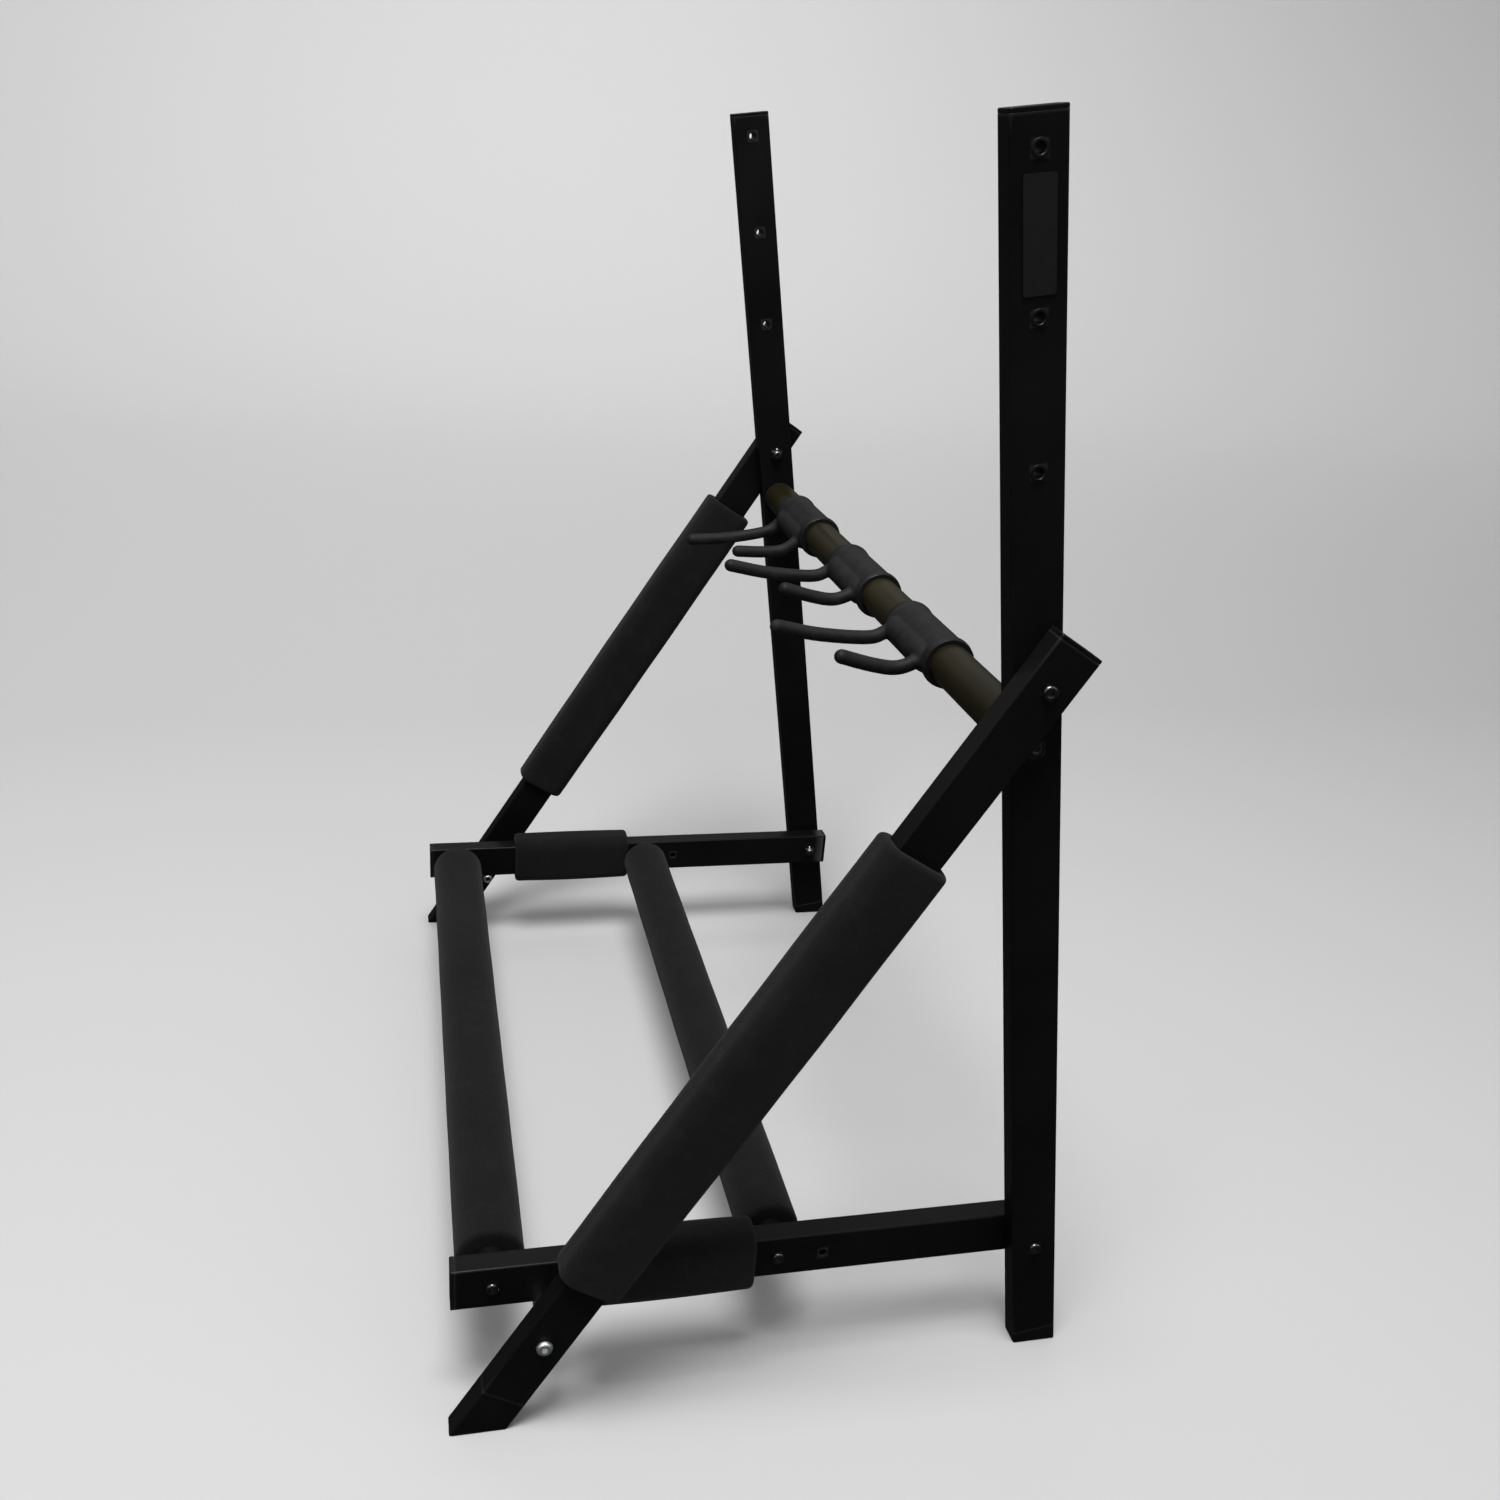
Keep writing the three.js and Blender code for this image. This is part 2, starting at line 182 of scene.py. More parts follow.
def powder_coat(name, value, tint):
    """Fine orange peel, broad mottling, pale scuffs, and sharp edges painted paler: partly rubbed
    wear, partly a painted highlight along the lit edges.
    """
    def shade(level):
        return tuple(level * t for t in tint) + (1,)

    mat, tree, shader = new_material(name, 0.36, 0.1)
    orange = texture(tree, "ShaderNodeTexNoise", 900, Detail=3.0, Roughness=0.6)
    speck = texture(tree, "ShaderNodeTexVoronoi", 1500)
    patch = texture(tree, "ShaderNodeTexNoise", 9, Detail=4.0)
    scuff = texture(tree, "ShaderNodeTexNoise", 34, (1, 1, 0.25), Detail=7.0, Roughness=0.75)
    base = ramp(tree, patch.outputs["Fac"],
                [(0.35, shade(value * 0.8)), (0.7, shade(value * 1.25))])
    scuffs = ramp(tree, scuff.outputs["Fac"], [(0.62, grey(0)), (0.78, grey(0.5))])
    worn = mixed(tree, scuffs, base, shade(value * 2.5))
    # Painted highlight: sharp edges are painted paler, partly as rubbed wear and partly as light
    # caught along the edges.
    colour = mixed(tree, edges(tree), worn, shade(value * 5 + 0.022))
    tree.links.new(colour, shader.inputs["Base Color"])
    rough = ramp(tree, patch.outputs["Fac"], [(0.3, grey(0.30)), (0.72, grey(0.42))])
    tree.links.new(mixed(tree, scuffs, rough, grey(0.55)), shader.inputs["Roughness"])
    bumped(tree, shader, [(orange.outputs["Fac"], 0.00016, 0.55),
                          (speck.outputs["Distance"], 0.00008, 0.3)])
    return mat


def moulded_plastic(name, value, rough, grain=1300):
    """Hard black plastic with a fine grain and slightly paler edges."""
    mat, tree, shader = new_material(name, rough, 0.14)
    fine = texture(tree, "ShaderNodeTexNoise", grain, Detail=2.0)
    patch = texture(tree, "ShaderNodeTexNoise", 40, Detail=5.0)
    base = ramp(tree, patch.outputs["Fac"], [(0.35, grey(value * 0.85)), (0.7, grey(value * 1.25))])
    colour = mixed(tree, edges(tree, 0.53, 0.65), base, grey(value * 2.4))
    tree.links.new(colour, shader.inputs["Base Color"])
    roughness = ramp(tree, patch.outputs["Fac"],
                     [(0.3, grey(rough - 0.06)), (0.7, grey(rough + 0.1))])
    tree.links.new(roughness, shader.inputs["Roughness"])
    bumped(tree, shader, [(fine.outputs["Fac"], 0.00012, 0.5)])
    return mat


def foam():
    """Closed-cell foam: small cells, open pores with painted shade in them, and a little pale dust.
    """
    mat, tree, shader = new_material("closed_cell_foam", 0.92, 0.07)
    shader.inputs["Sheen Weight"].default_value = 0.035
    shader.inputs["Sheen Roughness"].default_value = 0.55
    cells = texture(tree, "ShaderNodeTexVoronoi", 820, Randomness=1.0)
    pores = texture(tree, "ShaderNodeTexVoronoi", 330, Randomness=1.0)
    soft = texture(tree, "ShaderNodeTexNoise", 60, Detail=6.0, Roughness=0.6)
    broad = texture(tree, "ShaderNodeTexNoise", 8, Detail=3.0)
    base = ramp(tree, broad.outputs["Fac"], [(0.3, grey(0.0044, 0.01)), (0.72, grey(0.0068, 0.02))])
    dust = ramp(tree, soft.outputs["Fac"], [(0.52, grey(0)), (0.8, grey(0.55))])
    dusty = mixed(tree, dust, base, grey(0.011, 0.02))
    # Painted shade: the colour darkens towards the bottom of each pore.
    pore_shade = ramp(tree, pores.outputs["Distance"], [(0.0, grey(0.55)), (0.16, grey(1))])
    tree.links.new(mixed(tree, 1.0, dusty, pore_shade, "MULTIPLY"), shader.inputs["Base Color"])
    bumped(tree, shader, [(soft.outputs["Fac"], 0.0012, 0.35),
                          (cells.outputs["Distance"], 0.0005, 0.55),
                          (pores.outputs["Distance"], 0.0006, 0.3)])
    return mat


def rubber():
    """Moulded rubber with a fine grain and uneven dust."""
    mat, tree, shader = new_material("moulded_rubber", 0.62, 0.16)
    fine = texture(tree, "ShaderNodeTexNoise", 1500, Detail=2.0)
    dust = texture(tree, "ShaderNodeTexNoise", 70, Detail=6.0, Roughness=0.7)
    base = ramp(tree, dust.outputs["Fac"], [(0.4, grey(0.0052)), (0.75, grey(0.012, 0.03))])
    colour = mixed(tree, edges(tree, 0.52, 0.66), base, grey(0.02))
    tree.links.new(colour, shader.inputs["Base Color"])
    roughness = ramp(tree, dust.outputs["Fac"], [(0.35, grey(0.5)), (0.7, grey(0.74))])
    tree.links.new(roughness, shader.inputs["Roughness"])
    bumped(tree, shader, [(dust.outputs["Fac"], 0.0004, 0.3), (fine.outputs["Fac"], 0.00015, 0.5)])
    return mat


def metal(name, value, rough, tint, wear):
    """Turned metal, its edges wear times as bright as the rest."""
    mat, tree, shader = new_material(name, rough, metal=1.0)
    turned = texture(tree, "ShaderNodeTexNoise", 500, (1, 6, 6), Detail=3.0)
    patch = texture(tree, "ShaderNodeTexNoise", 220, Detail=5.0)
    base = ramp(tree, patch.outputs["Fac"],
                [(0.35, grey(value * 0.8, tint)), (0.7, grey(min(value * 1.15, 1), tint))])
    colour = mixed(tree, edges(tree, 0.53, 0.68), base, grey(min(value * wear, 0.9)))
    tree.links.new(colour, shader.inputs["Base Color"])
    roughness = ramp(tree, turned.outputs["Fac"],
                     [(0.3, grey(rough * 0.75)), (0.72, grey(rough * 1.4))])
    tree.links.new(roughness, shader.inputs["Roughness"])
    bumped(tree, shader, [(turned.outputs["Fac"], 0.00005, 0.5)])
    return mat


def label_film():
    """The plain film of the label plate."""
    mat, tree, shader = new_material("label_film", 0.45, 0.2)
    fine = texture(tree, "ShaderNodeTexNoise", 900, Detail=3.0)
    for socket, low, high in (("Base Color", 0.0058, 0.0078), ("Roughness", 0.42, 0.5)):
        blend = ramp(tree, fine.outputs["Fac"], [(0.3, grey(low)), (0.7, grey(high))])
        tree.links.new(blend, shader.inputs[socket])
    bumped(tree, shader, [(fine.outputs["Fac"], 0.00003, 0.3)])
    return mat


looks = {
    "frame_black": powder_coat("powder_coat", 0.0036, (1, 1.03, 1.0)),
    "cap_black": moulded_plastic("cap_plastic", 0.0026, 0.38),
    "foam_grey": foam(),
    "yoke_rubber": rubber(),
    "bolt_black": metal("blackened_steel", 0.12, 0.24, 0.02, 4.0),
    "zinc": metal("zinc_plate", 0.88, 0.4, -0.02, 1.1),
    "nylon": moulded_plastic("nylon", 0.0042, 0.38, 900),
    "label_grey": label_film(),
}
# The neck bar is a brighter warm grey-olive: partly its own coat, partly a painted reflection of the
# guitars' warm wood.
neck_bar_olive_and_reflection = powder_coat("neck_bar_olive_and_reflection", 0.0105, (1.15, 1, 0.4))


# ---- mesh helpers -------------------------------------------------------------------------------
FINE_CREASE = 28  # degrees


def in_scene(name, data):
    obj = bpy.data.objects.new(name, data)
    bpy.context.scene.collection.objects.link(obj)
    return obj


def piece(name, mesh, cad, crease=35):
    """An object that stands for a CAD node: it takes the node's body and slot. Faces that meet
    at more than crease degrees keep a sharp edge."""
    obj = in_scene(name, mesh)
    mesh.materials.clear()
    mesh.materials.append(looks[slot_of[cad]])
    for polygon in mesh.polygons:
        polygon.use_smooth = True
    mesh.set_sharp_from_angle(angle=math.radians(crease))
    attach(obj, body_of[cad])
    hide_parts(cad)
    return obj


def mesh_from(name, verts, faces):
    mesh = bpy.data.meshes.new(name)
    mesh.from_pydata([tuple(v) for v in verts], [], faces)
    mesh.validate()
    bm = bmesh.new()
    bm.from_mesh(mesh)
    bmesh.ops.remove_doubles(bm, verts=bm.verts, dist=1e-7)
    bmesh.ops.recalc_face_normals(bm, faces=bm.faces)
    bm.to_mesh(mesh)
    bm.free()
    return mesh


def lofted(name, rings, closed=False, place=Matrix()):
    """Joins rings of equal length; an open loft gets a face at each end, a closed one joins up."""
    count = len(rings[0])
    verts = [place @ Vector(p) for ring in rings for p in ring]
    faces = []
    pairs = len(rings) if closed else len(rings) - 1
    for i in range(pairs):
        a, b = i * count, ((i + 1) % len(rings)) * count
        faces += [(a + k, a + (k + 1) % count, b + (k + 1) % count, b + k) for k in range(count)]
    if not closed:
        faces.append(tuple(range(count))[::-1])
        faces.append(tuple(range((len(rings) - 1) * count, len(rings) * count)))
    return mesh_from(name, verts, faces)


def fine_piece(cad, rings, place, closed=True, crease=FINE_CREASE):
    """A loft that stands for the CAD node it is named after."""
    name = f"{cad}_fine"
    return piece(name, lofted(name, rings, closed=closed, place=place), cad, crease)


def joined(name, parts):
    """One mesh out of several, which are used up."""
    bm = bmesh.new()
    for part in parts:
        bm.from_mesh(part)
        bpy.data.meshes.remove(part)
    mesh = bpy.data.meshes.new(name)
    bm.to_mesh(mesh)
    bm.free()
    return mesh


def applied(raw, cutter):
    """The raw object's mesh with its modifiers applied; both objects are used up."""
    made = bpy.data.meshes.new_from_object(
        raw.evaluated_get(bpy.context.evaluated_depsgraph_get()))
    for obj in (raw, cutter):
        mesh = obj.data
        bpy.data.objects.remove(obj)
        bpy.data.meshes.remove(mesh)
    return made


def turn_angles(count):
    """Angles all the way round."""
    return [2 * math.pi * k / count for k in range(count)]


def quarter_angles(steps, first=0):
    """Angles of a quarter turn in equal steps, from the first one on."""
    return [math.pi / 2 * k / steps for k in range(first, steps + 1)]


def circle(radius, x, count=48):
    return [(x, radius * math.cos(t), radius * math.sin(t)) for t in turn_angles(count)]


def hexagon(flat, x, count=48):
    """A ring of count points on a hexagon whose flats are flat from the axis."""
    ring = []
    for t in turn_angles(count):
        r = flat / math.cos((t + math.pi / 6) % (math.pi / 3) - math.pi / 6)
        ring.append((x, r * math.cos(t), r * math.sin(t)))
    return ring


def rounded_section(width, depth, radius, per_corner=8, stops=(0.2, 0.4, 0.6, 0.8)):
    """A rounded rectangle in X (depth) and Y (width), with points at the stops along its sides."""
    side_least = 0.006
    w, d, ring = width / 2 - radius, depth / 2 - radius, []
    for cx, cy, start in ((d, w, 0), (-d, w, 90), (-d, -w, 180), (d, -w, 270)):
        for k in range(per_corner + 1):
            t = math.radians(start + 90 * k / per_corner)
            ring.append([cx + radius * math.cos(t), cy + radius * math.sin(t)])
    filled = []
    for k, p in enumerate(ring):
        q = ring[(k + 1) % len(ring)]
        filled.append(p)
        if (Vector(p) - Vector(q)).length > side_least:
            filled += [[p[0] + (q[0] - p[0]) * f, p[1] + (q[1] - p[1]) * f] for f in stops]
    return filled


# ---- soft sleeves -------------------------------------------------------------------------------
FOAM_CREASE = 60  # degrees
LEG_SLEEVE, RAIL_SLEEVE = 0.382, 0.1275  # lengths
FRONT_SLEEVE, REAR_SLEEVE, SLEEVE_BORE = 0.026, 0.024, 0.0128  # radii


def ripple(*args):
    """A smooth, repeatable unevenness between -1 and 1."""
    waves = zip(args, (1.0, 1.7, 2.3), (0.3, 1.9, 4.1))
    return sum(math.sin(a * f + p) for a, f, p in waves) / len(args)


def flat_sleeve(name, cad, along, length):
    """Foam pulled over a flat tube: swollen between its ends, rounded lips, slightly uneven."""
    place = Matrix.Translation(centre(cad)) @ basis(along, side_of(cad))
    outer_width, outer_depth, corner = 0.0534, 0.0364, 0.0125
    inner = rounded_section(0.0356, 0.0186, 0.0035)
    half, lip, recess, bulge = length / 2, 0.004, 0.0003, 0.0006
    stations = [-half + lip * (1 - math.cos(t)) for t in quarter_angles(5)]
    insets = [lip * (1 - math.sin(t)) * 0.8 for t in quarter_angles(5)]
    middle = [-half + lip + (2 * half - 2 * lip) * k / 40 for k in range(1, 40)]
    stations += middle + [-s for s in reversed(stations)]
    insets = insets + [0.0] * len(middle) + list(reversed(insets))
    phase = sum(ord(c) for c in name)
    rings = [[(x, y, -half + recess) for x, y in inner]]
    for z, inset in zip(stations, insets):
        swell = bulge * math.cos(math.pi * z / (2 * half)) - bulge
        ring = rounded_section(outer_width - 2 * inset + 2 * swell,
                               outer_depth - 2 * inset + 2 * swell, corner - inset * 0.6)
        rings.append([(x + 0.00022 * ripple(z * 70 + phase, y * 160, x * 190),
                       y + 0.00035 * ripple(z * 55 + phase, x * 170, y * 120), z) for x, y in ring])
    rings.append([(x, y, half - recess) for x, y in inner])
    obj = piece(name, lofted(name, rings, closed=True, place=place), cad, FOAM_CREASE)


def round_sleeve(name, cad, radius, bore):
    """Foam tube on a base bar, with soft lips and a faint slit along its underside."""
    half = size(cad).x / 2
    lip, recess, sink = 0.0035, 0.0004, 0.0004
    slit_at, slit_width, slit_depth = math.radians(262), 0.028, 0.0011
    profile = [(bore, -half + recess)]
    profile += [(radius - lip + lip * math.sin(t), -half + lip * (1 - math.cos(t)))
                for t in quarter_angles(5)]
    profile += [(radius, -half + lip + (2 * half - 2 * lip) * k / 60) for k in range(1, 60)]
    profile += [(r, -x) for r, x in reversed(profile[1:7])] + [(bore, half - recess)]
    rings = []
    for r, x in profile:
        ring = []
        for t in turn_angles(72):
            out = r
            if r > bore:
                out += 0.0003 * ripple(x * 60, t * 2, t) - sink
                out -= slit_depth * math.exp(-((t - slit_at) / slit_width) ** 2)
            ring.append((x, out * math.cos(t), out * math.sin(t)))
        rings.append(ring)
    place = Matrix.Translation(centre(cad))
    obj = piece(name, lofted(name, rings, closed=True, place=place), cad, FOAM_CREASE)


for word in SIDES:
    flat_sleeve(f"{word}_leg_sleeve", f"{word}_leg_foam", LEG_UP, LEG_SLEEVE)
    flat_sleeve(f"{word}_rail_sleeve", f"{word}_rail_foam", FORWARD, RAIL_SLEEVE)
round_sleeve("front_bar_sleeve", "front_bar_foam", FRONT_SLEEVE, SLEEVE_BORE)
round_sleeve("rear_bar_sleeve", "rear_bar_foam", REAR_SLEEVE, SLEEVE_BORE)


# ---- round bars ---------------------------------------------------------------------------------
PIVOT, BAR, SPARE, SUNK = 0.0038, 0.0033, 0.0046, 0.0055  # hole radii
BAR_WALL, WEB = 0.0015, 0.008  # WEB is the thickness of the drilled ends
NECK_BAR, BASE_BAR = 0.016, 0.0125  # radii
FINE_RING = 96  # points round the larger turned parts


def bar(name, cad, radius, hole):
    """A hollow bar with eased rims and a drilled web in each end."""
    half, ease = size(cad).x / 2, 0.0006
    rim = [(radius - ease * (1 - math.cos(t)), half - ease + ease * math.sin(t))
           for t in quarter_angles(4)]
    profile = [(hole, -half)] + [(r, -x) for r, x in reversed(rim)]
    profile += [(radius, -half + 2 * half * k / 8) for k in range(1, 8)]
    profile += rim + [(hole, half), (hole, half - WEB), (radius - BAR_WALL, half - WEB),
                      (radius - BAR_WALL, -half + WEB), (hole, -half + WEB)]
    rings = [circle(r, x, FINE_RING) for r, x in profile]
    place = Matrix.Translation(centre(cad))
    return piece(name, lofted(name, rings, closed=True, place=place), cad)


neck_tube = bar("neck_bar_tube", "neck_bar", NECK_BAR, PIVOT)
# Its colour is partly a painted reflection of the guitars' wood.
neck_tube.data.materials[0] = neck_bar_olive_and_reflection
bar("front_bar_tube", "front_bar", BASE_BAR, BAR)
bar("rear_bar_tube", "rear_bar", BASE_BAR, BAR)


# ---- fasteners ----------------------------------------------------------------------------------
def socket_bolt(cad, shaft, head, height, socket):
    """A button-head bolt with a hex socket; shaft, head and socket are radii."""
    lo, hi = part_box(cad)
    length, pitch = hi[0] - lo[0], 0.00125
    seat = length - height
    rings = [circle(shaft * 0.3, 0), circle(shaft - 0.0006, 0), circle(shaft, 0.0006)]
    for k in range(int((seat - 0.004) / pitch)):
        x = 0.0008 + k * pitch
        rings += [circle(shaft * 0.87, x + 0.0004), circle(shaft, x + 0.0010)]
    rings += [circle(shaft, seat), circle(head - 0.0003, seat), circle(head, seat + 0.0003),
              circle(head, seat + height * 0.3)]
    crown = min(height * 0.7, 0.0022)
    shoulder = head - socket * 1.6 if crown > height * 0.5 else 0.0007
    rings += [circle(head - shoulder * (1 - math.cos(t)), length - crown * (1 - math.sin(t)))
              for t in quarter_angles(6, 1)]
    rings += [circle(socket * 1.25, length - 0.0001), hexagon(socket * 0.92, length - 0.0004),
              hexagon(socket * 0.9, length - 0.0019), circle(socket * 0.4, length - 0.0021)]
    place = through_side(cad) @ Matrix.Rotation(random.uniform(0, math.pi), 4, "X")
    fine_piece(cad, rings, place, closed=False)


def lock_nut(cad, shaft, flat):
    """A hexagon nut with a round collar, flat from its axis to its flats."""
    lo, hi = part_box(cad)
    length = hi[0] - lo[0]
    body = length * 0.7
    rings = [circle(shaft, 0), circle(flat * 0.97, 0), hexagon(flat, 0.0007),
             hexagon(flat, body - 0.0007), circle(flat * 0.97, body), circle(flat * 0.8, body),
             circle(flat * 0.8, length - 0.0006), circle(flat * 0.72, length),
             circle(shaft, length)]
    fine_piece(cad, rings, through_side(cad, inwards=True))


def stop_post(cad, radius=0.0046, ease=0.0004):
    """A plain spacer round the stop bolt, with eased rims."""
    lo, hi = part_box(cad)
    half = (hi[0] - lo[0]) / 2
    profile = [(BAR, -half), (radius - ease, -half), (radius, -half + ease),
               (radius, half - ease), (radius - ease, half), (BAR, half)]
    fine_piece(cad, [circle(r, x) for r, x in profile], Matrix.Translation(centre(cad)))


def ring_grommet(cad):
    """A lining with a rounded flange round a spare height hole."""
    length = size(cad).x
    bore, body, flange = 0.0033, 0.0043, 0.0053
    lip = length - 0.0008
    profile = [(bore, 0), (body, 0), (body, lip), (flange - 0.0002, lip), (flange, lip + 0.0003)]
    profile += [(flange - 0.0006 * (1 - math.cos(t)), lip + 0.0003 + 0.0005 * math.sin(t))
                for t in quarter_angles(4, 1)]
    profile += [(bore + 0.0004, length), (bore, length - 0.0004)]
    fine_piece(cad, [circle(r, x) for r, x in profile], through_side(cad))


BOLTS = {  # shaft radius, head radius, head height, half the socket's width
    "neck_bar_bolt": (0.0035, 0.0052, 0.0159, 0.0022),
    "rail_pivot_bolt": (0.0035, 0.0052, 0.0028, 0.0022),
    "leg_pivot_bolt": (0.0035, 0.0052, 0.0028, 0.0022),
    "front_bar_bolt": (0.003, 0.005, 0.0026, 0.002),
    "rear_bar_bolt": (0.003, 0.005, 0.0026, 0.002),
    "stop_bolt": (0.003, 0.0058, 0.0036, 0.0022),
}
for word in SIDES:
    for kind, sizes in BOLTS.items():
        socket_bolt(f"{word}_{kind}", *sizes)
    for kind in ("rail_pivot_nut", "leg_pivot_nut"):
        lock_nut(f"{word}_{kind}", PIVOT, 0.0055)
    stop_post(f"{word}_stop_post")
    for i in (1, 2, 3):
        ring_grommet(f"{word}_grommet_{i}")


# ---- yokes --------------------------------------------------------------------------------------
def swept(points, radius, count=24):
    """A round rod along the points, with a domed far end."""
    rings = []
    side = Vector((1, 0, 0))
    for i, p in enumerate(points):
        a, b = points[max(i - 1, 0)], points[min(i + 1, len(points) - 1)]
        tangent = (b - a).normalized()
        side = (side - tangent * side.dot(tangent)).normalized()
        up = tangent.cross(side)
        rings.append([p + (side * math.cos(t) + up * math.sin(t)) * radius
                      for t in turn_angles(count)])
    tangent = (points[-1] - points[-2]).normalized()
    up = tangent.cross(side)
    for k in range(1, 7):
        t = math.pi / 2 * k / 6.3
        rings.append([points[-1] + tangent * radius * math.sin(t)
                      + (side * math.cos(s) + up * math.sin(s)) * radius * math.cos(t)
                      for s in turn_angles(count)])
    return rings


def smooth_path(points, steps=10):
    """Catmull-Rom through the points."""
    full = [points[0] * 2 - points[1]] + points + [points[-1] * 2 - points[-2]]
    path = []
    for i in range(1, len(full) - 2):
        a, b, c, d = full[i - 1:i + 3]
        for k in range(steps):
            t = k / steps
            path.append(0.5 * ((2 * b) + (c - a) * t + (2 * a - 5 * b + 4 * c - d) * t * t
                               + (3 * b - a - 3 * c + d) * t ** 3))
    return path + [points[-1]]


HUB_HALF, HUB_RADIUS, HUB_BORE, ARM_RADIUS = 0.047, 0.0202, 0.0178, 0.0057
ARMS = ((0.035, 0.086), (-0.035, 0.118))  # place along the neck bar, reach
SADDLE = [(-0.0425, 0.004), (-0.041, 0.0085), (-0.038, 0.0108), (-0.033, 0.012),
          (0.033, 0.012), (0.038, 0.0108), (0.041, 0.0085), (0.0425, 0.004)]
SADDLE_FORWARD = 0.0125


def fork_mesh():
    """Hub, saddle and two arms fused by a fine remesh, then bored out, at the neck bar's axis."""
    half, r = HUB_HALF, HUB_RADIUS
    hub = [(r - 0.0018, -half), (r - 0.0004, -half + 0.0005), (r, -half + 0.0018),
           (r, -half + 0.006), (r - 0.0012, -half + 0.0072), (r - 0.0012, half - 0.0072),
           (r, half - 0.006), (r, half - 0.0018), (r - 0.0004, half - 0.0005), (r - 0.0018, half)]
    parts = [[circle(a, x, 64) for a, x in hub],
             [[(x, a * math.cos(t) - SADDLE_FORWARD, a * math.sin(t)) for t in turn_angles(40)]
              for x, a in SADDLE]]
    for x, reach in ARMS:
        route = [(x * 0.86, -0.009, 0.005), (x, -0.022, -0.002), (x, -0.037, -0.007),
                 (x, -reach * 0.65, -0.0045), (x, -reach + 0.0056, 0.002)]
        parts.append(swept(smooth_path([Vector(p) for p in route]), ARM_RADIUS))
    raw = in_scene("yoke_raw", joined("yoke_raw", [lofted("part", rings) for rings in parts]))
    bore = in_scene("yoke_bore", lofted("yoke_bore", [circle(HUB_BORE, -0.06, FINE_RING),
                                                      circle(HUB_BORE, 0.06, FINE_RING)]))
    remesh = raw.modifiers.new("fuse", "REMESH")
    remesh.mode, remesh.voxel_size = "VOXEL", 0.0009
    soften = raw.modifiers.new("soften", "SMOOTH")
    soften.factor, soften.iterations = 0.5, 9
    cut = raw.modifiers.new("bore", "BOOLEAN")
    cut.operation, cut.object, cut.solver = "DIFFERENCE", bore, "EXACT"
    return applied(raw, bore)


DROOP = {"left": 14, "middle": 0, "right": 0}  # degrees below level at rest
fork = fork_mesh()
axis = centre("neck_bar")
for word, droop in DROOP.items():
    cad = f"{word}_yoke_fork"
    at = Vector((centre(cad).x, axis.y, axis.z))
    copy = fork.copy()
    copy.transform(Matrix.Translation(at) @ Matrix.Rotation(math.radians(droop), 4, "X"))
    piece(f"{word}_fork_moulded", copy, cad, 40)
    bore, body, rim, inner, outer, ease = 0.0163, 0.0175, 0.0194, 0.0473, 0.0488, 0.0004
    profile = [(bore, -outer), (rim - ease, -outer), (rim, -outer + ease), (rim, -inner),
               (body, -inner), (body, inner), (rim, inner), (rim, outer - ease),
               (rim - ease, outer), (bore, outer)]
    rings = [circle(r, x, FINE_RING) for r, x in profile]
    fine_piece(f"{word}_yoke_bush", rings, Matrix.Translation(at))


# ---- flat tubes, caps and shoes -----------------------------------------------------------------
WIDTH, DEPTH, CORNER, WALL, FIT = 0.035, 0.018, 0.0018, 0.0015, 0.0003
PLUG = 0.010  # how far a cap or shoe reaches into its tube
PLUG_EASE = 0.0004


def outline(inset, z, grow=0.0):
    """The tube's outline at a height; z is a number or a rule that gives one for each point."""
    ring = rounded_section(WIDTH - 2 * inset, DEPTH - 2 * inset, max(CORNER - inset, 0.0004), 6,
                           (0.04, 0.3, 0.7, 0.96))
    return [(x, y, (z(x, y) if callable(z) else z) + grow) for x, y in ring]


def drilled(mesh, holes):
    """Takes holes out of a tube: each is (height, radius, start), and runs out to +X."""
    parts = []
    for at, radius, start in holes:
        part = lofted("cutter", [circle(radius, start, 40), circle(radius, DEPTH, 40)])
        part.transform(Matrix.Translation((0, 0, at)))
        parts.append(part)
    raw = in_scene("raw", mesh)
    cutters = in_scene("cutters", joined("cutters", parts))
    cut = raw.modifiers.new("holes", "BOOLEAN")
    cut.operation, cut.object, cut.solver, cut.use_self = "DIFFERENCE", cutters, "EXACT", True
    return applied(raw, cutters)


def tube_normal(point, facing):
    """Flat sides stay flat and corners stay round, whatever the holes did to the faces."""
    if abs(facing.z) > 0.01:
        return Vector()
    if max(abs(facing.x), abs(facing.y)) > 0.9995:
        return facing.copy()
    normal = Vector((point.x - math.copysign(DEPTH / 2 - CORNER, point.x),
                     point.y - math.copysign(WIDTH / 2 - CORNER, point.y), 0)).normalized()
    return -normal if normal.dot(facing) < 0 else normal


def section_piece(cad, rings, place, closed=False, holes=()):
    """A piece lofted along a tube's local Z, with its own normals."""
    mesh = lofted(f"{cad}_fine", rings, closed=closed)
    if holes:
        mesh = drilled(mesh, holes)
    normals = [tube_normal(mesh.vertices[v].co, face.normal)
               for face in mesh.polygons for v in face.vertices]
    turn = place.to_3x3()
    mesh.transform(place)
    piece(f"{cad}_fine", mesh, cad)
    mesh.normals_split_custom_set([turn @ n if n.length > 0 else n for n in normals])


